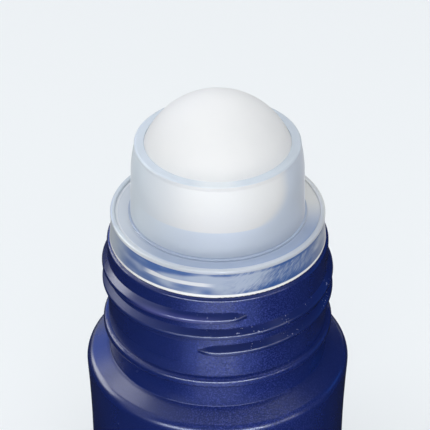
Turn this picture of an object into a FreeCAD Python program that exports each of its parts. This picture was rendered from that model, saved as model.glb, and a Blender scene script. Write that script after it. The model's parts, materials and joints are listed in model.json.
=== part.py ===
import FreeCAD, Part
import math
import os
from collections import namedtuple

# Roll-on bottle: a blow-moulded bottle with a screw neck, a ball housing that snaps on its mouth, and a
# hollow ball. Lengths are millimetres and angles degrees. +Z is up, and the origin is the centre of the
# surface that the bottle stands on. The front of the bottle faces -Y.

# Ball
BALL_DIAMETER = 28.6
BALL_WALL = 1.6
WELD_TONGUE_HEIGHT = 0.8
WELD_TONGUE_SHARE = 0.5  # of the ball's wall

# Collar of the housing, around the ball
SOCKET_CLEARANCE = 0.12
LIP_HEIGHT = 5.6  # ball's centre to the rim
LIP_LAND = 0.9  # straight band below the rim
LIP_EDGE_ROUND = 0.4
SOCKET_BAND_DROP = 3.4  # ball's centre to the lower end of the close-fitting band
COLLAR_RELIEF = 0.28  # the bore below the band is this much wider
COLLAR_WALL = 1.25
COLLAR_DRAFT = 0.25  # foot to the ball's centre
COLLAR_DRAW_IN = 0.65  # ball's centre to the rim
COLLAR_CROWN = 0.1  # bulge of the drawn-in wall
COLLAR_STEP_WIDTH = 0.4  # low ring at the collar's foot
COLLAR_STEP_HEIGHT = 0.4
COLLAR_STEP_ROUND = 0.15
BALL_LIFT = 9.4  # flange's top to the ball's centre

# Seat under the ball
SEAT_DIAMETER = 18.6
SEAT_CLEARANCE = 0.15
SEAT_LIP_WIDTH = 0.8
SEAT_LIP_HEIGHT = 1.5
SEAT_WEB_THICKNESS = 1.1
SEAT_WEB_RISE = 1.8  # flow hole's edge to the wall
FLOW_NOTCH_COUNT = 6
FLOW_NOTCH_WIDTH = 1.4
FLOW_NOTCH_DEPTH = 0.7

# Flange and skirt of the housing
FLANGE_THICKNESS = 1.2
FLANGE_BEAD_WIDTH = 0.95
FLANGE_BEAD_RISE = 0.4  # above the flange's top
FLANGE_BEAD_HEIGHT = 0.9
FLANGE_BEAD_ROUND = 0.3
FLANGE_BEAD_INSET = 0.25  # from the skirt's foot
SKIRT_WALL = 1.3
SKIRT_FLARE = 0.45  # the skirt's foot stands this much further out than its top
SKIRT_EDGE_ROUND = 0.25

# Plug of the housing, in the bottle's mouth
PLUG_STEP = 0.75  # from the collar's foot out to the plug's face
PLUG_WALL = 1.2
PLUG_DEPTH = 4.0
PLUG_LEAD = 0.4
PLUG_CLEARANCE = 0.1
PLUG_SEAL_GAP = 0.03
PLUG_SEAL_DROP = 1.6  # below the flange
PLUG_SEAL_HEIGHT = 1.0
PLUG_SEAL_LAND_SHARE = 0.4  # of the seal's height

# Snap rim of the bottle, between plug and skirt
RIM_WALL = 1.4
RIM_HEIGHT = 4.1
RIM_GAP = 0.1
SNAP_DEPTH = 0.3
SNAP_CLEARANCE = 0.1
SNAP_RIB_HEIGHT = 1.3
SNAP_BEAD_HEIGHT = 1.5

# Neck of the bottle
NECK_HEIGHT = 24.2  # foot to mouth
NECK_WALL = 1.8
NECK_FOOT_ROUND = 0.25
MOUTH_LEDGE = 0.5  # from the skirt's foot out to the neck's face
MOUTH_WALL = 1.6
MOUTH_ROUND = 0.6
NECK_BEAD_DROP = 18.4  # mouth to the middle of the bead
NECK_BEAD_HEIGHT = 1.0
NECK_BEAD_CREST = 1.8
NECK_BEAD_FLANK = 0.15
NECK_BEAD_ROUND = 0.8

# Screw thread on the neck, single start, right-handed
THREAD_PITCH = 3.65
THREAD_DROP = 11.7  # mouth to the middle of the lower end
THREAD_HEIGHT = 1.0
THREAD_CREST = 0.7
THREAD_TOP_FLANK = 1.1
THREAD_LOW_FLANK = 0.6
THREAD_ROUND = 0.5
THREAD_ROOT = 0.3  # how far the ridge reaches into the wall
THREAD_SINK = 0.1  # how far a run-out ends below the wall's face
THREAD_START_ANGLE = -104.0
THREAD_SWEEP_ANGLE = 753.0
THREAD_RUN_OUT_ANGLE = 14.0
THREAD_STEP_ANGLE = 6.0

# Body of the bottle
BODY_HEIGHT = 41.2  # base to the neck's foot
BODY_WALL = 1.4
SHOULDER_WIDTH = 4.35  # from the neck's face out to the widest point
SHOULDER_SLOPE_ANGLE = 25.0
SHOULDER_WALL = 1.6
SHOULDER_ROUND = 2.0
INNER_ROUND = 0.8
WAIST_HEIGHT = 19.0
WAIST_DEPTH = 0.6
BASE_WALL = 1.6
BASE_ROUND = 3.0
FOOT_RING_WIDTH = 2.5
PUSH_UP_HEIGHT = 2.0

CUT_OVERRUN = 1.0
FULL_TURN = 360.0


def leg(hypotenuse, other_leg):
    """Third side of a right triangle."""
    return math.sqrt(hypotenuse**2 - other_leg**2)


# Radii, from the ball outwards
ball_radius = BALL_DIAMETER / 2
ball_bore_radius = ball_radius - BALL_WALL
socket_radius = ball_radius + SOCKET_CLEARANCE
seat_socket_radius = ball_radius + SEAT_CLEARANCE
collar_bore_radius = socket_radius + COLLAR_RELIEF
collar_foot_radius = collar_bore_radius + COLLAR_WALL
collar_waist_radius = collar_foot_radius - COLLAR_DRAFT
collar_rim_radius = collar_waist_radius - COLLAR_DRAW_IN
flow_hole_radius = (SEAT_DIAMETER - SEAT_LIP_WIDTH) / 2
seat_lip_radius = flow_hole_radius + SEAT_LIP_WIDTH
plug_radius = collar_foot_radius + PLUG_STEP
plug_bore_radius = plug_radius - PLUG_WALL
rim_bore_radius = plug_radius + PLUG_CLEARANCE
plug_seal_radius = rim_bore_radius - PLUG_SEAL_GAP
rim_radius = rim_bore_radius + RIM_WALL
snap_rib_radius = rim_radius + SNAP_CLEARANCE
snap_bead_radius = rim_radius + SNAP_DEPTH
skirt_bore_radius = snap_bead_radius + SNAP_CLEARANCE
skirt_radius = skirt_bore_radius + SKIRT_WALL
skirt_top_radius = skirt_radius - SKIRT_FLARE
flange_bead_radius = skirt_radius - FLANGE_BEAD_INSET
neck_radius = skirt_radius + MOUTH_LEDGE
neck_bore_radius = neck_radius - NECK_WALL
neck_bead_radius = neck_radius + NECK_BEAD_HEIGHT
thread_radius = neck_radius + THREAD_HEIGHT
shoulder_radius = neck_radius + SHOULDER_WIDTH
waist_radius = shoulder_radius - WAIST_DEPTH

# Levels, from the base upwards
neck_foot_level = BODY_HEIGHT
mouth_level = neck_foot_level + NECK_HEIGHT
rim_level = mouth_level + RIM_HEIGHT
flange_bottom_level = rim_level + RIM_GAP
flange_level = flange_bottom_level + FLANGE_THICKNESS
flange_bead_level = flange_level + FLANGE_BEAD_RISE
ball_level = flange_level + BALL_LIFT
lip_level = ball_level + LIP_HEIGHT
band_level = ball_level - SOCKET_BAND_DROP
seat_tip_level = ball_level - leg(seat_socket_radius, seat_lip_radius)
plug_level = mouth_level - PLUG_DEPTH
snap_rib_level = mouth_level + SNAP_RIB_HEIGHT
snap_bead_level = snap_rib_level + SNAP_CLEARANCE

# Shoulder: a cone from the neck's foot to the round at its edge
shoulder_slope = math.radians(SHOULDER_SLOPE_ANGLE)
shoulder_reach = SHOULDER_WIDTH - SHOULDER_ROUND * (1 - math.sin(shoulder_slope))
shoulder_low_level = neck_foot_level - shoulder_reach * math.tan(shoulder_slope)
shoulder_round_level = shoulder_low_level - SHOULDER_ROUND * math.cos(shoulder_slope)

# Concave side of the body: an arc around a point outside it, through the waist and the shoulder's round
side_rise = shoulder_round_level - WAIST_HEIGHT
side_curve_radius = (side_rise**2 + WAIST_DEPTH**2) / (2 * WAIST_DEPTH)
side_axis_radius = waist_radius + side_curve_radius

# A point that the arc from the stop before it to the stop after it passes through
Through = namedtuple("Through", "radius level")


def spot(stop):
    """Point of a stop in the half plane y = 0."""
    return FreeCAD.Vector(stop[0], 0, stop[1])


def corner_ends(before, stop, after):
    """Start, middle and end of the round at a stop of (radius, level, rounding)."""
    corner = spot(stop)
    to_before = (spot(before) - corner).normalize()
    to_after = (spot(after) - corner).normalize()
    half_angle = to_before.getAngle(to_after) / 2
    inward = (to_before + to_after).normalize()
    reach = stop[2] / math.tan(half_angle)
    middle = corner + inward * (stop[2] / math.sin(half_angle) - stop[2])
    return corner + to_before * reach, middle, corner + to_after * reach


def outline(stops):
    """Closed wire through stops of (radius, level) or, between straight runs, (radius, level, rounding)."""
    corners = [stop for stop in stops if not isinstance(stop, Through)]
    count = len(corners)
    ends = []
    for i, stop in enumerate(corners):
        if len(stop) == 3:
            ends.append(corner_ends(corners[i - 1], stop, corners[(i + 1) % count]))
        else:
            ends.append((spot(stop), None, spot(stop)))
    edges = []
    i = -1
    for here, following in zip(stops, stops[1:] + stops[:1]):
        if isinstance(here, Through):
            edges.append(Part.Arc(ends[i][2], spot(here), ends[(i + 1) % count][0]).toShape())
            continue
        i += 1
        start, middle, end = ends[i]
        if middle:
            edges.append(Part.Arc(start, middle, end).toShape())
        if not isinstance(following, Through):
            edges.append(Part.LineSegment(end, ends[(i + 1) % count][0]).toShape())
    return Part.Wire(edges)


def turned(stops):
    """Solid of revolution of an outline about the bottle's axis."""
    return Part.Face(outline(stops)).revolve(FreeCAD.Vector(), FreeCAD.Vector(0, 0, 1), FULL_TURN)


def side_corner(curve_radius, stop, slope, rounding, side):
    """Round between the body's concave side and a cone through a stop, or a plane where the slope is 0.

    side is 1 where the cone lies above the body and -1 where it lies below. Gives the end on the cone, the
    middle and the end on the side.
    """
    to_cone = FreeCAD.Vector(math.sin(slope), 0, side * math.cos(slope))
    outwards = FreeCAD.Vector(math.cos(slope), 0, -side * math.sin(slope))
    side_axis = FreeCAD.Vector(side_axis_radius, 0, WAIST_HEIGHT)
    start = spot(stop) - to_cone * rounding
    to_axis = side_axis - start
    run = to_axis.dot(outwards) - leg(curve_radius + rounding, to_axis.dot(to_cone))
    centre = start + outwards * run
    to_side = (side_axis - centre).normalize()
    on_cone = centre + to_cone * rounding
    middle = centre + (to_cone + to_side).normalize() * rounding
    on_side = centre + to_side * rounding
    return (on_cone.x, on_cone.z), Through(middle.x, middle.z), (on_side.x, on_side.z)


def push_up(edge_radius, level):
    """Dome in the base: its middle, a point half way out and its edge."""
    dome_radius = (edge_radius**2 + PUSH_UP_HEIGHT**2) / (2 * PUSH_UP_HEIGHT)
    top = level + PUSH_UP_HEIGHT
    half_radius = edge_radius / 2
    half_level = top - dome_radius + leg(dome_radius, half_radius)
    return (0, top), Through(half_radius, half_level), (edge_radius, level)


def bottle_shell():
    """Hollow body, shoulder, neck with its bead, and the snap rim on the mouth."""
    neck_foot = (neck_radius, neck_foot_level)
    shoulder_in, shoulder_mid, shoulder_out = side_corner(
        side_curve_radius, neck_foot, shoulder_slope, SHOULDER_ROUND, 1
    )
    base_in, base_mid, base_out = side_corner(side_curve_radius, (0, 0), 0, BASE_ROUND, -1)
    inner_curve_radius = side_curve_radius + BODY_WALL
    wall_drop = SHOULDER_WALL / math.cos(shoulder_slope)
    inner_foot = (neck_bore_radius, neck_foot_level - wall_drop + NECK_WALL * math.tan(shoulder_slope))
    top_in, top_mid, top_out = side_corner(inner_curve_radius, inner_foot, shoulder_slope, INNER_ROUND, 1)
    floor_in, floor_mid, floor_out = side_corner(inner_curve_radius, (0, BASE_WALL), 0, INNER_ROUND, -1)
    ring_radius = base_in[0] - FOOT_RING_WIDTH
    under_middle, under_mid, under_edge = push_up(ring_radius, 0)
    over_middle, over_mid, over_edge = push_up(ring_radius, BASE_WALL)
    bead_top = mouth_level - NECK_BEAD_DROP + NECK_BEAD_CREST / 2
    bead_low = bead_top - NECK_BEAD_CREST
    return turned([
        under_middle,
        under_mid,
        under_edge,
        base_in,
        base_mid,
        base_out,
        Through(waist_radius, WAIST_HEIGHT),
        shoulder_out,
        shoulder_mid,
        shoulder_in,
        (*neck_foot, NECK_FOOT_ROUND),
        (neck_radius, bead_low - NECK_BEAD_FLANK),
        (neck_bead_radius, bead_low, NECK_BEAD_ROUND),
        (neck_bead_radius, bead_top, NECK_BEAD_ROUND),
        (neck_radius, bead_top + NECK_BEAD_FLANK),
        (neck_radius, mouth_level, MOUTH_ROUND),
        (rim_radius, mouth_level),
        (rim_radius, snap_bead_level),
        (snap_bead_radius, snap_bead_level),
        (snap_bead_radius, snap_bead_level + SNAP_BEAD_HEIGHT),
        (rim_radius, rim_level),
        (rim_bore_radius, rim_level),
        (rim_bore_radius, mouth_level - MOUTH_WALL),
        (neck_bore_radius, mouth_level - MOUTH_WALL, INNER_ROUND),
        inner_foot,
        top_in,
        top_mid,
        top_out,
        Through(waist_radius - BODY_WALL, WAIST_HEIGHT),
        floor_out,
        floor_mid,
        floor_in,
        over_edge,
        over_mid,
        over_middle,
    ])


def run_out(angle):
    """Share of the thread's height that is sunk into the wall, 1 at either tip and 0 past the run-out."""
    from_tip = min(angle, THREAD_SWEEP_ANGLE - angle)
    done = min(from_tip / THREAD_RUN_OUT_ANGLE, 1)
    return (1 + math.cos(math.pi * done)) / 2


def thread_ridge():
    """Helical ridge whose ends sink into the neck's wall."""
    half_crest = THREAD_CREST / 2
    root_radius = neck_radius - THREAD_ROOT
    flank_stretch = (THREAD_HEIGHT + THREAD_ROOT) / THREAD_HEIGHT
    section = outline([
        (root_radius, half_crest + THREAD_TOP_FLANK * flank_stretch),
        (thread_radius, half_crest, THREAD_ROUND),
        (thread_radius, -half_crest, THREAD_ROUND),
        (root_radius, -half_crest - THREAD_LOW_FLANK * flank_stretch),
    ])
    steps = round(THREAD_SWEEP_ANGLE / THREAD_STEP_ANGLE)
    sections = []
    for i in range(steps + 1):
        angle = THREAD_SWEEP_ANGLE * i / steps
        sunk = run_out(angle) * (THREAD_HEIGHT + THREAD_SINK)
        level = mouth_level - THREAD_DROP + THREAD_PITCH * angle / FULL_TURN
        wire = section.copy()
        wire.translate(FreeCAD.Vector(-sunk, 0, level))
        wire.rotate(FreeCAD.Vector(), FreeCAD.Vector(0, 0, 1), THREAD_START_ANGLE + angle)
        sections.append(wire)
    return Part.makeLoft(sections, True, False)


def bottle():
    """The whole bottle, one moulding."""
    return bottle_shell().fuse(thread_ridge()).removeSplitter().Solids[0]


def housing_body():
    """Collar, seat, flange, skirt and plug as one turned moulding."""
    lip_inner_radius = leg(socket_radius, LIP_HEIGHT)
    crown_level = (lip_level - LIP_LAND + ball_level) / 2
    crown_radius = (collar_rim_radius + collar_waist_radius) / 2 + COLLAR_CROWN
    step_radius = collar_foot_radius + COLLAR_STEP_WIDTH
    step_level = flange_level + COLLAR_STEP_HEIGHT
    bead_low = flange_bead_level - FLANGE_BEAD_HEIGHT
    bead_inner_radius = flange_bead_radius - FLANGE_BEAD_WIDTH
    seal_top = flange_bottom_level - PLUG_SEAL_DROP
    seal_slope = PLUG_SEAL_HEIGHT * (1 - PLUG_SEAL_LAND_SHARE) / 2
    seal_low = seal_top - PLUG_SEAL_HEIGHT
    tip_inner_level = ball_level - leg(seat_socket_radius, flow_hole_radius)
    tip_mid_radius = (flow_hole_radius + seat_lip_radius) / 2
    web_level = seat_tip_level - SEAT_LIP_HEIGHT
    web_low = web_level - SEAT_WEB_THICKNESS
    return turned([
        (lip_inner_radius, lip_level),
        (collar_rim_radius, lip_level, LIP_EDGE_ROUND),
        (collar_rim_radius, lip_level - LIP_LAND),
        Through(crown_radius, crown_level),
        (collar_waist_radius, ball_level),
        (collar_foot_radius, step_level),
        (step_radius, step_level, COLLAR_STEP_ROUND),
        (step_radius, flange_level),
        (bead_inner_radius, flange_level),
        (bead_inner_radius, flange_bead_level, FLANGE_BEAD_ROUND),
        (flange_bead_radius, flange_bead_level, FLANGE_BEAD_ROUND),
        (flange_bead_radius, bead_low, FLANGE_BEAD_ROUND),
        (skirt_top_radius, bead_low),
        (skirt_radius, mouth_level, SKIRT_EDGE_ROUND),
        (snap_rib_radius, mouth_level),
        (snap_rib_radius, snap_rib_level),
        (skirt_bore_radius, snap_rib_level),
        (skirt_bore_radius, flange_bottom_level),
        (plug_radius, flange_bottom_level),
        (plug_radius, seal_top),
        (plug_seal_radius, seal_top - seal_slope),
        (plug_seal_radius, seal_low + seal_slope),
        (plug_radius, seal_low),
        (plug_radius, plug_level + PLUG_LEAD),
        (plug_radius - PLUG_LEAD, plug_level),
        (plug_bore_radius, plug_level),
        (plug_bore_radius, web_low + SEAT_WEB_RISE),
        (flow_hole_radius, web_low),
        (flow_hole_radius, tip_inner_level),
        Through(tip_mid_radius, ball_level - leg(seat_socket_radius, tip_mid_radius)),
        (seat_lip_radius, seat_tip_level),
        (seat_lip_radius, web_level),
        (collar_bore_radius, web_level + SEAT_WEB_RISE),
        (collar_bore_radius, band_level),
        (leg(socket_radius, SOCKET_BAND_DROP), band_level),
        Through(socket_radius, ball_level),
    ])


def flow_notches():
    """Radial notches in the sealing lip, which let liquid reach the ball while it sits on the lip."""
    length = SEAT_LIP_WIDTH + 2 * CUT_OVERRUN
    height = FLOW_NOTCH_DEPTH + CUT_OVERRUN
    floor_level = seat_tip_level - FLOW_NOTCH_DEPTH
    corner = FreeCAD.Vector(flow_hole_radius - CUT_OVERRUN, -FLOW_NOTCH_WIDTH / 2, floor_level)
    notches = []
    for i in range(FLOW_NOTCH_COUNT):
        notch = Part.makeBox(length, FLOW_NOTCH_WIDTH, height, corner)
        notch.rotate(FreeCAD.Vector(), FreeCAD.Vector(0, 0, 1), FULL_TURN * i / FLOW_NOTCH_COUNT)
        notches.append(notch)
    return notches


def ball_housing():
    """The whole housing, one moulding."""
    return housing_body().cut(flow_notches()).removeSplitter().Solids[0]


def ball_half(side):
    """Half shell of the ball: side is 1 for the upper half, which has the tongue, and -1 for the lower."""
    tongue_radius = ball_bore_radius + BALL_WALL * WELD_TONGUE_SHARE
    tongue_level = ball_level - WELD_TONGUE_HEIGHT
    slant_share = math.sqrt(0.5)
    outer_slant = ball_radius * slant_share
    inner_slant = ball_bore_radius * slant_share
    outside = [
        (ball_radius, ball_level),
        Through(outer_slant, ball_level + side * outer_slant),
        (0, ball_level + side * ball_radius),
        (0, ball_level + side * ball_bore_radius),
        Through(inner_slant, ball_level + side * inner_slant),
    ]
    if side > 0:
        weld = [
            (ball_bore_radius, ball_level),
            (ball_bore_radius, tongue_level),
            (tongue_radius, tongue_level),
            (tongue_radius, ball_level),
        ]
    else:
        weld = [
            (leg(ball_bore_radius, WELD_TONGUE_HEIGHT), tongue_level),
            (tongue_radius, tongue_level),
            (tongue_radius, ball_level),
        ]
    return turned(outside + weld)


def main():
    pieces = {
        "bottle": bottle(),
        "ball_housing": ball_housing(),
        "ball_upper_half": ball_half(1),
        "ball_lower_half": ball_half(-1),
    }
    os.makedirs("parts", exist_ok=True)
    for name, piece in pieces.items():
        print(name, piece.ShapeType, "valid" if piece.isValid() else "not valid", piece.Volume)
        piece.exportStep(os.path.join("parts", name + ".step"))


main()
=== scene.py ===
import json
import math
from collections import namedtuple

import bpy
import bmesh
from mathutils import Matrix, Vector


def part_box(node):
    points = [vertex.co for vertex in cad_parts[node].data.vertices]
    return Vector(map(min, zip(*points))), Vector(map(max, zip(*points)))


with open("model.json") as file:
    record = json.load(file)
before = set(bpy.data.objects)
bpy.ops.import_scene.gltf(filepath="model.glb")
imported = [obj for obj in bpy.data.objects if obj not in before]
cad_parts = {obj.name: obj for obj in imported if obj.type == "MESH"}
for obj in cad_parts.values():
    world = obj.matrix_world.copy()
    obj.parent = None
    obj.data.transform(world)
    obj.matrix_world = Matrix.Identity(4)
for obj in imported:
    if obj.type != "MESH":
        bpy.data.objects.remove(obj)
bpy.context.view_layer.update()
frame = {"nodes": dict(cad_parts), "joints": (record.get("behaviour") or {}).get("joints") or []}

MM = 0.001

# The camera, fitted to the rim, the flange and the neck
CAMERA_ELEVATION = math.radians(34.78)
CAMERA_DISTANCE = 438.7 * MM
CAMERA_LENS = 200.9
CAMERA_NEAR_SHARE = 0.01
AIM_BELOW_BALL_CENTRE = 10.59 * MM
AXIS_IN_FRAME = 0.49 * MM

# The studio
PALE = (0.893, 0.925, 0.95)
FLOOR_BOUNCE = (0.25, 0.26, 0.27)
FLOOR_GLOW = 0.6
FLOOR_RADIUS = 3.0
FLOOR_EDGES = 96
FLAG_BLACK = (0.02, 0.02, 0.02)
WORLD_STRENGTH = 0.5
LIGHT_AIM = Vector((0, 0, 70 * MM))

# The housing: its heights, the drop from its rim to the skirt's foot, and its radii
COLLAR_HEIGHT = 15.0 * MM
SKIRT_FOOT_DROP = 20.4 * MM
BEAD_RISE = 0.4 * MM
BEAD_HEIGHT = 0.9 * MM
BEAD_INNER_RADIUS = 18.7 * MM
STEP_RADIUS = 16.35 * MM
COLLAR_BORE_RADIUS = 14.85 * MM

# Where the housing's zones start and end, from the level or radius that the name gives
COLLAR_FROM_FLANGE = (0.35 * MM, 0.5 * MM)
EDGE_FROM_RIM = (-0.25 * MM, -0.12 * MM)
BORE_FROM_RADIUS = (-0.1 * MM, 0.1 * MM)
FLANGE_FROM_BEAD_FOOT = (-0.05 * MM, 0.1 * MM)
SKIRT_FROM_BEAD_FOOT = (-0.1 * MM, 0)
BEAD_FROM_INNER_RADIUS = (-0.1 * MM, 0)
RING_FROM_BEAD_RADIUS = (-0.5 * MM, 0)
RING_FROM_STEP_RADIUS = (0, 0.4 * MM)
STEP_FROM_STEP_RADIUS = (-0.6 * MM, 0.05 * MM)
STEP_FROM_FLANGE = (0.1 * MM, 0.6 * MM)
FOOT_HIGHLIGHT_FROM_SKIRT_FOOT = (0.60 * MM, 0.80 * MM)
BLUE_FROM_SKIRT_FOOT = (0.9 * MM, 2.4 * MM)
BEAD_RING_SOFT = 0.3 * MM
STEP_RING_SOFT = 0.4 * MM
STEP_SOFT = 0.1 * MM

# The pale patch where the ball shows through the collar
BALL_PATCH_DROP = 3.6 * MM  # down from the ball's centre
BALL_PATCH_DEPTH = 6.0 * MM
BALL_PATCH_RIGHT = math.radians(20)
BALL_PATCH_RIGHT_REACH = math.radians(31)
BALL_PATCH_LEFT = math.radians(-8)
BALL_PATCH_LEFT_REACH = math.radians(60)
BALL_PATCH_EDGE = 0.04
BALL_PATCH_RIGHT_EDGE = 0.36
BALL_PATCH_RIGHT_EDGE_REACH = 0.8

# The skirt: its clouds run round it and climb at the right, and its blue leans with them
FLOW_STRETCH = 0.35
FLOW_CLIMB = 0.7
FLOW_SLICE = 5 * MM
CLIMB_START = 3 * MM
CLIMB_LENGTH = 18 * MM
BLUE_LEAN = math.radians(3.5) / MM
BAND_DROP = 0.5 * MM
BAND_DROP_LEFT = 1.1 * MM
BAND_SHARES = (1.3, 0.6)
BLUE_RANGE = (0.05, 1.1)
# Where the painted highlight streak lies on the skirt, up from its foot, and how its top edge waves
STREAK_LOW = 2.3 * MM
STREAK_HIGH = 3.1 * MM
STREAK_WAVE = 0.8 * MM
STREAK_SOFT = 0.2 * MM

# The bottle: levels up from its base, and radii. A third number is the softness of a zone's ends
NECK_RADIUS = 20.4 * MM
THREAD_EDGE = (NECK_RADIUS + 0.05 * MM, NECK_RADIUS + 0.15 * MM)
THREAD_REACH = 14.0 * MM  # down from the skirt's foot
THREAD_SOFT = 1.0 * MM
SKIRT_SHADE = 0.4 * MM  # down from the skirt's foot
CREST_HIGHLIGHT_RISE = (NECK_RADIUS + 0.3 * MM, NECK_RADIUS + 1.0 * MM)
UPPER_RIDGE_LOW = 59.0 * MM
UPPER_RIDGE_SOFT = 0.4 * MM
LOWER_RIDGE = (55.5 * MM, 58.7 * MM, 0.4 * MM)
OVER_BEAD = (48.0 * MM, 50.4 * MM, 1.2 * MM)
NECK_FOOT = (40.5 * MM, 45.6 * MM, 0.2 * MM)
NECK_FOOT_EDGE = (20.8 * MM, 21.1 * MM)

# Sectors in degrees: start, end and softness, from the front and positive to the right
LIT_FRONT = (-16, 42, 40)
SCUFFED = (-4, 75, 20)
CREST_HIGHLIGHT_SECTOR = (-42, -2, 24)
LOWER_RIDGE_LEFT = (-130, -12, 30)
OVER_BEAD_LEFT = (-85, -16, 36)
BRUSHED = (6, 58, 24)
LEFT_BAND = (-95, -22, 40)
MILKY = (-15, 12, 30)
RIGHT_PATCH = (19, 56, 24)
HIGHLIGHT_STREAK_SECTOR = (-40, -4, 8)
PAINTED_LIGHT_LEFT_SIDE = (-150, -50, 60)
PAINTED_LIGHT_LEFT = (-150, -38, 50)
PAINTED_LIGHT_FAR_LEFT = (-150, -64, 30)
PAINTED_LIGHT_FAR_RIGHT = (85, 150, 40)
RIM_FRONT_HIGHLIGHT = (-14, 12, 16)
STEP_SHADE_FRONT = (-62, 56, 50)

# The grain of the finishes: the size of their lumps, and the range of noise that makes flakes and specks
MOTTLE_GRAIN = 6 * MM
BLASTING_GRAIN = 0.3 * MM
FLAKE_GRAIN = 0.27 * MM
FLAKE_RANGE = (0.42, 0.72)
GLINT_GRAIN = 0.30 * MM
GLINT_RANGE = (0.38, 0.62)
SPECK_GRAIN = 0.42 * MM
SPECK_RANGE = (0.65, 0.76)
RUBBED_GRAIN = 2.5 * MM
RUBBED_RANGE = (0.50, 0.58)
MILK_GRAIN = 3 * MM
SKIRT_CLOUD_GRAIN = 1.8 * MM
FIBRE_GRAIN = 0.34 * MM
FROST_GRAIN = 0.3 * MM
BALL_GRAIN = 4 * MM
MID_NOISE = 0.5
BUMP_DEPTH = 0.05 * MM

# The finishes' colours
BLUE_DARK = (0.005, 0.014, 0.096)
BLUE_LIGHT = (0.007, 0.017, 0.112)
BLUE_FLAKE_AND_GLINT = (0.026, 0.040, 0.220)
BLUE_CREST_HIGHLIGHT = (0.043, 0.051, 0.205)
BLUE_GLOSS = (0.85, 0.88, 1.0)
SCUFF_PALE = (0.26, 0.29, 0.46)
MILK_DARK = (0.44, 0.53, 0.72)
MILK_LIGHT = (0.49, 0.58, 0.75)
MILK_LAMP_TINT = (0.93, 0.95, 0.98)
BALL_DARK = (0.82, 0.825, 0.83)
BALL_LIGHT = (0.85, 0.85, 0.85)

# How rough and how glossy the finishes are, and how deep their grain looks
BLUE_ROUGHNESS = 0.24
MOTTLE_ROUGHNESS = 0.05
SCUFF_ROUGHNESS = 0.2
DULL_ROUGHNESS = 0.1
BLUE_COAT = 0.34
GLINT_COAT = 0.64
BLASTING_RELIEF = 0.4
MILK_ROUGHNESS = 0.13
FROST_ROUGHNESS = 0.30
MILK_CLOUD_ROUGHNESS = 0.05
FROST_RELIEF = 0.08
BALL_ROUGHNESS = 0.68
BALL_CLOUD_ROUGHNESS = 0.1

# How strongly the flakes show all round, and how much more in front, where they are a painted glint
FLAKES_ALL_ROUND = 0.2
PAINTED_GLINT_IN_FRONT = 0.8

# The milky plastic where no zone lies: how solid it looks, and the share of lamp light it lets by
MILK_SOLID = 0.7
MILK_LAMPS = 0.3

# What adds to the blue that shows through the skirt, and by how much
BLUE_ALL_ROUND = 0.06
BLUE_IN_BAND = 0.45
BLUE_IN_LEFT_BAND = 0.12
BLUE_LOW_DOWN = 0.30
BLUE_BESIDE_MILKY = 0.46
BLUE_IN_RIGHT_PATCH = 0.22
BLUE_BY_CLOUD = 1.8
BLUE_BY_CLOUD_LOST_TO_BRUSHING = 1.2
BLUE_BY_FIBRE = 1.2

housing_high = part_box("ball_housing")[1]
ball_centre = Vector(frame["joints"][0]["pos_m"])
rim_level = housing_high.z
flange_level = rim_level - COLLAR_HEIGHT
bead_foot = flange_level + BEAD_RISE - BEAD_HEIGHT
skirt_foot = rim_level - SKIRT_FOOT_DROP
ball_patch_level = ball_centre.z - BALL_PATCH_DROP

# A zone of the housing: where it lies, its colour, how solid it looks, and the share of lamp light it lets by
Zone = namedtuple("Zone", "where tint solid lamps")


class Wire:
    """One output socket in a material. Python's operators on it add the Math nodes for the value."""

    def __init__(self, tree, socket=None):
        self.tree = tree
        self.socket = socket

    def node(self, kind, settings=None, inputs=None, output=0):
        """Adds a node of any type: its settings come first, then the values or wires of its sockets."""
        made = self.tree.nodes.new(kind)
        for name, value in (settings or {}).items():
            setattr(made, name, value)
        for name, value in (inputs or {}).items():
            if isinstance(value, Wire):
                self.tree.links.new(value.socket, made.inputs[name])
            else:
                made.inputs[name].default_value = value
        return Wire(self.tree, made.outputs[output]) if made.outputs else made

    def maths(self, operation, *values):
        return self.node("ShaderNodeMath", {"operation": operation}, dict(enumerate(values)))

    def __add__(self, other):
        return self.maths("ADD", self, other)

    def __radd__(self, other):
        return self.maths("ADD", other, self)

    def __sub__(self, other):
        return self.maths("SUBTRACT", self, other)

    def __rsub__(self, other):
        return self.maths("SUBTRACT", other, self)

    def __mul__(self, other):
        return self.maths("MULTIPLY", self, other)

    def __rmul__(self, other):
        return self.maths("MULTIPLY", other, self)

    def __truediv__(self, other):
        return self.maths("DIVIDE", self, other)

    def __pow__(self, other):
        return self.maths("POWER", self, other)

    def at_least(self, other):
        return self.maths("MAXIMUM", self, other)

    def at_most(self, other):
        return self.maths("MINIMUM", self, other)

    def between(self, low, high):
        """0 up to low, 1 from high, smooth on the way."""
        settings = {"interpolation_type": "SMOOTHSTEP"}
        return self.node("ShaderNodeMapRange", settings, {"Value": self, "From Min": low, "From Max": high})

    def inside(self, low, high, soft):
        """1 from low to high and 0 outside, each end as soft as given."""
        half = soft / 2
        return self.between(low - half, low + half) * (1 - self.between(high - half, high + half))

    def sector(self, start, end, soft):
        """The same for an angle, with the sector given in degrees."""
        return self.inside(math.radians(start), math.radians(end), math.radians(soft))

    def mixed(self, first, second):
        """The first colour where this wire is 0, the second where it is 1."""
        settings = {"data_type": "RGBA"}
        return self.node("ShaderNodeMix", settings, {0: self, 6: first, 7: second}, output=2)


def colour(red, green, blue):
    return (red, green, blue, 1.0)


def from_place(place, span):
    """The start and end of a span that is given from a level or a radius."""
    return [place + step for step in span]


def new_finish(name):
    """An empty material and the start of its nodes."""
    material = bpy.data.materials.new(name)
    material.use_nodes = True
    material.node_tree.nodes.clear()
    return material, Wire(material.node_tree)


def set_surface(start, shader):
    start.node("ShaderNodeOutputMaterial", inputs={"Surface": shader})


def object_place(start):
    return start.node("ShaderNodeTexCoord", output="Object")


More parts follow.
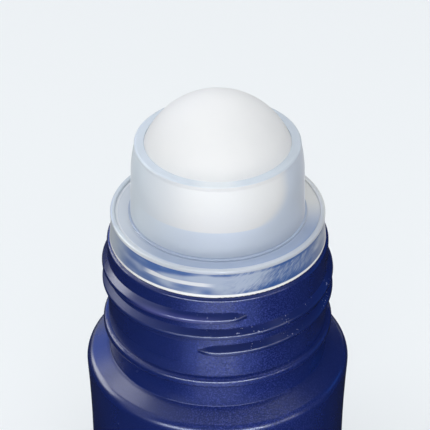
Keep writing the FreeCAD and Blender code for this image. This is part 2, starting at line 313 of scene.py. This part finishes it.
def round_places(start, place):
    """A point's height, its distance from the upright axis, and its turn from the front, right positive."""
    x, y, height = (start.node("ShaderNodeSeparateXYZ", inputs={0: place}, output=axis) for axis in "XYZ")
    return height, (x * x + y * y) ** 0.5, start.maths("ARCTAN2", x, -1 * y)


def noise(start, place, grain, detail=2.0):
    """Noise with lumps of about that size in metres, from 0 to 1."""
    return start.node("ShaderNodeTexNoise", inputs={"Vector": place, "Scale": 1 / grain, "Detail": detail})


def bump(start, strength, relief):
    inputs = {"Strength": strength, "Distance": BUMP_DEPTH, "Height": relief}
    return start.node("ShaderNodeBump", inputs=inputs)


def any_ray(start, *kinds):
    """1 on rays of any of these kinds, 0 on others."""
    rays = [start.node("ShaderNodeLightPath", output=f"Is {kind} Ray") for kind in kinds]
    found = rays[0]
    for ray in rays[1:]:
        found = found.at_least(ray)
    return found


def seen_directly(start):
    """1 for what the camera sees, by gloss and through plastic too, and 0 for light that falls on things."""
    return any_ray(start, "Camera", "Glossy", "Transmission")


def satin_blue():
    """The bottle: deep blue, from a fine blasted mould, with flakes, and with pale scuffs on its thread.

    The sectors are tuned to the front view: there the flakes are brighter as a painted glint, the upper ridge
    is lighter towards its crest as a painted highlight, and the lower ridge and the neck over the bead are
    duller, in place of light that the lamps don't give.
    """
    material, start = new_finish("satin_blue")
    place = object_place(start)
    height, radius, turn = round_places(start, place)

    thread_low = skirt_foot - THREAD_REACH
    shade_low = skirt_foot - SKIRT_SHADE
    on_thread = radius.between(*THREAD_EDGE) * height.inside(thread_low, skirt_foot, THREAD_SOFT)
    in_front = turn.sector(*LIT_FRONT)
    in_sight = (1 - on_thread) * (1 - height.between(shade_low, skirt_foot))
    on_upper_ridge = height.inside(UPPER_RIDGE_LOW, shade_low, UPPER_RIDGE_SOFT)
    # Painted highlight: the upper ridge's flank lighter towards its crest, at the front left
    painted_crest_highlight = radius.between(*CREST_HIGHLIGHT_RISE) * on_upper_ridge * turn.sector(*CREST_HIGHLIGHT_SECTOR)
    lower_ridge = height.inside(*LOWER_RIDGE) * turn.sector(*LOWER_RIDGE_LEFT)
    over_bead = height.inside(*OVER_BEAD) * turn.sector(*OVER_BEAD_LEFT)
    neck_foot = height.inside(*NECK_FOOT) * (1 - radius.between(*NECK_FOOT_EDGE))

    mottle = noise(start, place, MOTTLE_GRAIN, detail=3.0)
    blasting = noise(start, place, BLASTING_GRAIN)
    flake = noise(start, place, FLAKE_GRAIN, detail=1.0).between(*FLAKE_RANGE)
    glint = noise(start, place, GLINT_GRAIN, detail=1.0).between(*GLINT_RANGE) - MID_NOISE
    speck = noise(start, place, SPECK_GRAIN, detail=1.0).between(*SPECK_RANGE)
    rubbed = noise(start, place, RUBBED_GRAIN).between(*RUBBED_RANGE)
    # Flakes of lighter blue all round, and much brighter in front as a painted glint
    flakes_and_painted_glint = flake * (FLAKES_ALL_ROUND + PAINTED_GLINT_IN_FRONT * in_front) * in_sight
    scuff = speck * rubbed * on_thread * turn.sector(*SCUFFED)

    base = mottle.mixed(colour(*BLUE_DARK), colour(*BLUE_LIGHT))
    base = flakes_and_painted_glint.mixed(base, colour(*BLUE_FLAKE_AND_GLINT))
    base = painted_crest_highlight.mixed(base, colour(*BLUE_CREST_HIGHLIGHT))
    base = scuff.mixed(base, colour(*SCUFF_PALE))
    dull = DULL_ROUGHNESS * lower_ridge + DULL_ROUGHNESS * over_bead
    gloss = BLUE_COAT + GLINT_COAT * in_front * in_sight * glint
    shader = start.node(
        "ShaderNodeBsdfPrincipled",
        inputs={
            "Base Color": base,
            "Roughness": BLUE_ROUGHNESS + MOTTLE_ROUGHNESS * mottle + SCUFF_ROUGHNESS * scuff + dull,
            "Normal": bump(start, BLASTING_RELIEF, blasting),
            "Specular IOR Level": 0.28,
            "Specular Tint": colour(*BLUE_GLOSS),
            "Coat Weight": gloss * (1 - lower_ridge) * (1 - over_bead) * (1 - neck_foot),
            "Coat Roughness": 0.2,
            "Coat IOR": 1.5,
        },
    )
    set_surface(start, shader)
    return material


def ball_patch(height, turn):
    """1 on the pale patch where the ball shows through the collar. Its right edge is softer."""
    below = (1 - (height - ball_patch_level) / BALL_PATCH_DEPTH).at_least(0)
    right = ((turn - BALL_PATCH_RIGHT) / BALL_PATCH_RIGHT_REACH).at_least(0)
    left = ((BALL_PATCH_LEFT - turn) / BALL_PATCH_LEFT_REACH).between(0, 1)
    edge = BALL_PATCH_EDGE + BALL_PATCH_RIGHT_EDGE * right.between(0, BALL_PATCH_RIGHT_EDGE_REACH)
    return (1 - (below * below + right * right).between(1 - edge, 1 + edge)) * (1 - left)


def skirt_blue_and_highlight_streak(start, height, turn):
    """How much of the bottle's blue shows through the skirt, from 0 to 1, and the painted highlight streak on
    it.
    """
    along = turn * NECK_RADIUS
    climb = (along - CLIMB_START).at_least(0).at_most(CLIMB_LENGTH)
    flow = start.node(
        "ShaderNodeCombineXYZ",
        inputs={0: along * FLOW_STRETCH, 1: height - FLOW_CLIMB * climb, 2: FLOW_SLICE},
    )
    cloud = noise(start, flow, SKIRT_CLOUD_GRAIN, detail=1.0) - MID_NOISE
    brushed = turn.sector(*BRUSHED)
    fibre = (noise(start, flow, FIBRE_GRAIN) - MID_NOISE) * brushed

    left_band = turn.sector(*LEFT_BAND)
    drop = BAND_DROP + BAND_DROP_LEFT * left_band
    band = height.between(*(bead_foot - share * drop for share in BAND_SHARES))
    low = 1 - height.between(*from_place(skirt_foot, BLUE_FROM_SKIRT_FOOT))
    lean = turn - (height - skirt_foot) * BLUE_LEAN
    blue = (
        BLUE_ALL_ROUND
        + (BLUE_IN_BAND + BLUE_IN_LEFT_BAND * left_band) * band
        + BLUE_LOW_DOWN * low
        + BLUE_BESIDE_MILKY * (1 - lean.sector(*MILKY))
        + BLUE_IN_RIGHT_PATCH * lean.sector(*RIGHT_PATCH)
        + (BLUE_BY_CLOUD - BLUE_BY_CLOUD_LOST_TO_BRUSHING * brushed) * cloud
        + BLUE_BY_FIBRE * fibre
    )
    streak_low = skirt_foot + STREAK_LOW
    streak_high = skirt_foot + STREAK_HIGH + STREAK_WAVE * cloud
    painted_highlight_streak = turn.sector(*HIGHLIGHT_STREAK_SECTOR) * height.inside(streak_low, streak_high, STREAK_SOFT)
    return blue.between(*BLUE_RANGE), painted_highlight_streak


def natural_plastic():
    """The housing: milky and see-through, frosted on the collar and glossy from the flange down.

    Its zones are laid one over another. Those by sector are tuned to the front view. Several are painted
    light and shade in place of light that the lamps don't give: painted light on the left and at the far
    right, painted highlights on the rim's front, on the skirt's streak and foot and on a line inside the bead
    at the left, and painted shade round the collar's step and on a line inside the bead.
    """
    material, start = new_finish("natural_plastic")
    place = object_place(start)
    height, radius, turn = round_places(start, place)

    on_collar = height.between(*from_place(flange_level, COLLAR_FROM_FLANGE))
    off_collar = 1 - on_collar
    on_rim = height.between(*from_place(rim_level, EDGE_FROM_RIM))
    in_bore = on_collar * (1 - radius.between(*from_place(COLLAR_BORE_RADIUS, BORE_FROM_RADIUS)))
    above_skirt = height.between(*from_place(bead_foot, FLANGE_FROM_BEAD_FOOT))
    on_bead = above_skirt * radius.between(*from_place(BEAD_INNER_RADIUS, BEAD_FROM_INNER_RADIUS))
    painted_shade_and_light_in_bead = radius.inside(*from_place(BEAD_INNER_RADIUS, RING_FROM_BEAD_RADIUS), BEAD_RING_SOFT)
    painted_shade_and_light_in_bead = painted_shade_and_light_in_bead * off_collar
    painted_shade_round_step = radius.inside(*from_place(STEP_RADIUS, RING_FROM_STEP_RADIUS), STEP_RING_SOFT)
    painted_shade_round_step = painted_shade_round_step * off_collar
    painted_shade_on_step = radius.inside(*from_place(STEP_RADIUS, STEP_FROM_STEP_RADIUS), STEP_SOFT)
    painted_shade_on_step = painted_shade_on_step * height.inside(*from_place(flange_level, STEP_FROM_FLANGE), STEP_SOFT)
    on_skirt = 1 - height.between(*from_place(bead_foot, SKIRT_FROM_BEAD_FOOT))
    painted_foot_highlight = 1 - height.between(*from_place(skirt_foot, FOOT_HIGHLIGHT_FROM_SKIRT_FOOT))

    painted_light_left = turn.sector(*PAINTED_LIGHT_LEFT)
    painted_light_far_left = turn.sector(*PAINTED_LIGHT_FAR_LEFT)
    painted_light_far_right = above_skirt * off_collar * turn.sector(*PAINTED_LIGHT_FAR_RIGHT)
    blue, painted_highlight_streak = skirt_blue_and_highlight_streak(start, height, turn)
    zones = (
        # Painted light: the housing lighter on its left side, as if lit from the left
        Zone(turn.sector(*PAINTED_LIGHT_LEFT_SIDE), tint=(0.75, 0.80, 0.87), solid=0.82, lamps=0.3),
        Zone(on_skirt, tint=(0.42, 0.49, 0.63), solid=0.85, lamps=0.3),
        Zone(on_skirt * blue, tint=(0.038, 0.115, 0.36), solid=0.85, lamps=0.3),
        # Painted highlight: a pale streak on the skirt's left front
        Zone(on_skirt * painted_highlight_streak, tint=(0.77, 0.79, 0.82), solid=0.90, lamps=0.3),
        # Painted light: the skirt lighter and less blue at the far left
        Zone(on_skirt * painted_light_far_left, tint=(0.48, 0.57, 0.69), solid=0.85, lamps=0.3),
        # Painted highlight: a white line along the skirt's foot
        Zone(painted_foot_highlight, tint=(0.92, 0.92, 0.91), solid=1.00, lamps=0.0),
        # Painted shade: a soft bluish band on the flange round the collar's step, at the front
        Zone(painted_shade_round_step * turn.sector(*STEP_SHADE_FRONT), tint=(0.48, 0.56, 0.72), solid=0.76, lamps=0.3),
        # Painted shade: a bluish line on the flange inside the bead
        Zone(painted_shade_and_light_in_bead, tint=(0.40, 0.50, 0.70), solid=0.75, lamps=0.3),
        Zone(on_bead, tint=(0.57, 0.61, 0.67), solid=0.92, lamps=0.3),
        # Painted light: the bead lighter on its left
        Zone(on_bead * painted_light_left, tint=(0.75, 0.785, 0.80), solid=0.94, lamps=0.3),
        # Painted highlight: a pale line inside the bead on its left
        Zone(painted_shade_and_light_in_bead * painted_light_left, tint=(0.83, 0.86, 0.90), solid=0.92, lamps=0.3),
        # Painted light and shade: the bead's far left bluish grey, darker than the rest of its left
        Zone(on_bead * painted_light_far_left, tint=(0.68, 0.74, 0.80), solid=0.90, lamps=0.3),
        # Painted light: the flange and bead pale at the far right
        Zone(painted_light_far_right, tint=(0.84, 0.84, 0.81), solid=0.90, lamps=0.3),
        Zone(on_collar, tint=(0.61, 0.68, 0.79), solid=0.78, lamps=0.5),
        # Painted light: the collar lighter on its left and lightest at the far left
        Zone(on_collar * painted_light_left, tint=(0.74, 0.81, 0.88), solid=0.80, lamps=0.5),
        Zone(on_collar * painted_light_far_left, tint=(0.81, 0.91, 0.99), solid=0.80, lamps=0.5),
        # Painted shade: the collar's step in a bluish shade tone
        Zone(painted_shade_on_step, tint=(0.48, 0.56, 0.71), solid=0.82, lamps=0.3),
        Zone(on_collar * ball_patch(height, turn), tint=(0.87, 0.86, 0.845), solid=0.68, lamps=0.9),
        Zone(in_bore, tint=(0.80, 0.86, 0.92), solid=0.12, lamps=0.9),
        Zone(on_rim, tint=(0.61, 0.68, 0.76), solid=0.85, lamps=0.4),
        # Painted highlight: the rim whiter at the front
        Zone(on_rim * turn.sector(*RIM_FRONT_HIGHLIGHT), tint=(0.74, 0.785, 0.82), solid=0.85, lamps=0.4),
    )
    milk = noise(start, place, MILK_GRAIN, detail=3.0)
    base = milk.mixed(colour(*MILK_DARK), colour(*MILK_LIGHT))
    solid = MILK_SOLID
    lamps = MILK_LAMPS
    for zone in zones:
        base = zone.where.mixed(base, colour(*zone.tint))
        solid = solid + zone.where * (zone.solid - solid)
        lamps = lamps + zone.where * (zone.lamps - lamps)

    shader = start.node(
        "ShaderNodeBsdfPrincipled",
        inputs={
            "Base Color": base,
            "Roughness": MILK_ROUGHNESS + FROST_ROUGHNESS * on_collar + MILK_CLOUD_ROUGHNESS * milk,
            "Normal": bump(start, FROST_RELIEF, noise(start, place, FROST_GRAIN) * on_collar),
            "Alpha": solid,
            "IOR": 1.49,
            "Sheen Weight": 0.8,
            "Sheen Roughness": 0.4,
        },
    )
    lamp_way = start.node("ShaderNodeBsdfTransparent", inputs={"Color": colour(*MILK_LAMP_TINT)})
    let_by = any_ray(start, "Shadow", "Diffuse") * lamps
    set_surface(start, start.node("ShaderNodeMixShader", inputs={0: let_by, 1: shader, 2: lamp_way}))
    return material


def ball_white():
    """The ball: satin white, ground round."""
    material, start = new_finish("ball_white")
    cloud = noise(start, object_place(start), BALL_GRAIN, detail=3.0)
    shader = start.node(
        "ShaderNodeBsdfPrincipled",
        inputs={
            "Base Color": cloud.mixed(colour(*BALL_DARK), colour(*BALL_LIGHT)),
            "Roughness": BALL_ROUGHNESS + BALL_CLOUD_ROUGHNESS * cloud,
            "Specular IOR Level": 0.2,
        },
    )
    set_surface(start, shader)
    return material


def dress(material, *names):
    """Gives CAD nodes a finish."""
    for name in names:
        frame["nodes"][name].material_slots[0].material = material


def add_to_studio(name, shape, material):
    """An object with that shape and material. The shape is used up."""
    mesh = bpy.data.meshes.new(name)
    shape.to_mesh(mesh)
    shape.free()
    mesh.materials.append(material)
    made = bpy.data.objects.new(name, mesh)
    bpy.context.scene.collection.objects.link(made)
    return made


def make_floor():
    """A pale floor that glows for the camera, so that it stays pale and still shows the object's shadow."""
    material, start = new_finish("pale_floor")
    seen = seen_directly(start)
    tone = seen.mixed(colour(*FLOOR_BOUNCE), colour(*PALE))
    matte = start.node("ShaderNodeBsdfDiffuse", inputs={"Color": tone})
    glow = start.node("ShaderNodeEmission", inputs={"Color": colour(*PALE)})
    set_surface(start, start.node("ShaderNodeMixShader", inputs={0: seen * FLOOR_GLOW, 1: matte, 2: glow}))
    shape = bmesh.new()
    bmesh.ops.create_circle(shape, cap_ends=True, segments=FLOOR_EDGES, radius=FLOOR_RADIUS)
    floor = add_to_studio("floor", shape, material)


def add_flag(name, corner, along, up, glow=None):
    """A card beside the object that only gloss shows: dark, or glowing in a colour."""
    material, start = new_finish(name)
    if glow:
        set_surface(start, start.node("ShaderNodeEmission", inputs={"Color": colour(*glow)}))
    else:
        set_surface(start, start.node("ShaderNodeBsdfDiffuse", inputs={"Color": colour(*FLAG_BLACK)}))
    corner, along, up = Vector(corner), Vector(along), Vector(up)
    shape = bmesh.new()
    shape.faces.new([shape.verts.new(c) for c in (corner, corner + along, corner + along + up, corner + up)])
    flag = add_to_studio(name, shape, material)
    flag.visible_camera = False
    flag.visible_shadow = False
    flag.visible_diffuse = False


def add_card(name, towards, distance, width, height, glow):
    """A glowing card that faces the object, which only gloss shows."""
    away = Vector(towards).normalized()
    along = Vector((0, 0, 1)).cross(away).normalized() * width
    up = away.cross(along).normalized() * height
    corner = LIGHT_AIM + away * distance - along / 2 - up / 2
    add_flag(name, corner, along, up, glow)


def make_flags_and_cards():
    """What the gloss shows, in metres: dark flags round the object and two blue cards."""
    add_flag("left_floor_flag", corner=(-0.40, -0.115, 0.001), along=(0.374, 0, 0), up=(0, 0.60, 0))
    add_flag("right_floor_flag", corner=(0.026, -0.115, 0.001), along=(0.374, 0, 0), up=(0, 0.70, 0))
    add_flag("left_flag", corner=(-0.42, -0.10, 0.001), along=(0, 0.70, 0), up=(0, 0, 0.11))
    add_flag("right_flag", corner=(0.40, -0.20, 0.001), along=(0, 0.80, 0), up=(0, 0, 0.50))
    add_flag("back_flag", corner=(0.02, 0.60, 0.10), along=(1.60, 0, 0), up=(0, 0, 2.00))
    add_flag("front_flag", corner=(-0.90, -0.60, 0.22), along=(1.80, 0, 0), up=(0, 0, 1.40))
    add_card(
        "left_blue_card",
        towards=(-0.461, 0.781, 0.42), distance=0.50, width=0.26, height=0.24, glow=(0.34, 0.68, 2.6),
    )
    add_card(
        "right_blue_card",
        towards=(0.955, 0.29, 0.05), distance=0.35, width=0.13, height=0.07, glow=(0.05, 0.40, 2.0),
    )


def make_world():
    world = bpy.data.worlds.new("studio")
    world.use_nodes = True
    world.node_tree.nodes.clear()
    start = Wire(world.node_tree)
    strength = WORLD_STRENGTH + (1 - WORLD_STRENGTH) * seen_directly(start)
    sky = start.node("ShaderNodeBackground", inputs={"Color": colour(*PALE), "Strength": strength})
    start.node("ShaderNodeOutputWorld", inputs={"Surface": sky})
    bpy.context.scene.world = world


def add_softbox(
    name, towards, distance, width, height, brightness,
    aim=LIGHT_AIM, tint=(1, 1, 1), diffuse=True, gloss=True,
):
    """A rectangular soft light that faces the point it aims at. Brightness 1 is that of a white surface."""
    data = bpy.data.lights.new(name, "AREA")
    data.shape = "RECTANGLE"
    data.size = width
    data.size_y = height
    data.energy = brightness * math.pi * width * height
    data.color = tint
    light = bpy.data.objects.new(name, data)
    away = Vector(towards).normalized()
    light.location = Vector(aim) + away * distance
    light.rotation_mode = "QUATERNION"
    light.rotation_quaternion = (-away).to_track_quat("-Z", "Y")
    light.visible_camera = False
    light.visible_diffuse = diffuse
    light.visible_glossy = gloss
    bpy.context.scene.collection.objects.link(light)


def make_lights():
    """The lights, in metres: some light the object and make no reflection, the others only reflections."""
    add_softbox(
        "left_softbox",
        towards=(-0.81, -0.15, 0.57), distance=0.70, width=0.30, height=0.30, brightness=4.6, gloss=False,
    )
    add_softbox(
        "front_softbox",
        towards=(0, -0.64, 0.77), distance=0.85, width=0.60, height=0.50, brightness=2.1, gloss=False,
    )
    add_softbox(
        "top_softbox",
        towards=(0.38, 0.05, 0.88), distance=0.75, width=0.50, height=0.50, brightness=2.0, gloss=False,
    )
    add_softbox(
        "left_strip",
        towards=(-0.826, 0.421, 0.375), distance=0.70, width=0.48, height=0.32, brightness=7.0, diffuse=False,
    )
    add_softbox(
        "back_left_card",
        towards=(-0.50, 0.40, 0.77), distance=0.70, width=0.26, height=0.24, brightness=5.0,
        tint=(0.95, 0.95, 1.0), diffuse=False,
    )
    add_softbox(
        "front_strip",
        towards=(-0.05, -0.999, 0.02), distance=0.60, width=1.10, height=0.17, brightness=17.0,
        tint=(0.88, 0.95, 1.0), diffuse=False,
    )
    add_softbox(
        "right_strip",
        towards=(0.90, -0.40, 0.05), distance=0.60, width=0.40, height=0.15, brightness=4.0, diffuse=False,
    )
    add_softbox(
        "low_front_card",
        towards=(0.07, -0.88, -0.466), distance=0.1417, width=0.12, height=0.09, brightness=4.5, gloss=False,
    )
    add_softbox(
        "floor_card",
        towards=(0, 0, -1), distance=0.298, width=0.11, height=0.07, brightness=2.1,
        aim=(0.008, -0.10, 0.30), tint=(0.25, 0.36, 1.0), diffuse=False,
    )


def make_camera():
    data = bpy.data.cameras.new("camera")
    data.lens = CAMERA_LENS
    data.clip_start = CAMERA_DISTANCE * CAMERA_NEAR_SHARE
    camera = bpy.data.objects.new("camera", data)
    aim = ball_centre - Vector((AXIS_IN_FRAME, 0, AIM_BELOW_BALL_CENTRE))
    back = Vector((0, -math.cos(CAMERA_ELEVATION), math.sin(CAMERA_ELEVATION)))
    camera.location = aim + back * CAMERA_DISTANCE
    camera.rotation_mode = "QUATERNION"
    camera.rotation_quaternion = (-back).to_track_quat("-Z", "Y")
    bpy.context.scene.collection.objects.link(camera)
    bpy.context.scene.camera = camera


dress(satin_blue(), "bottle")
dress(natural_plastic(), "ball_housing")
dress(ball_white(), "ball_upper_half", "ball_lower_half")
make_floor()
make_flags_and_cards()
make_world()
make_lights()
make_camera()
bpy.context.scene.view_settings.view_transform = "Standard"
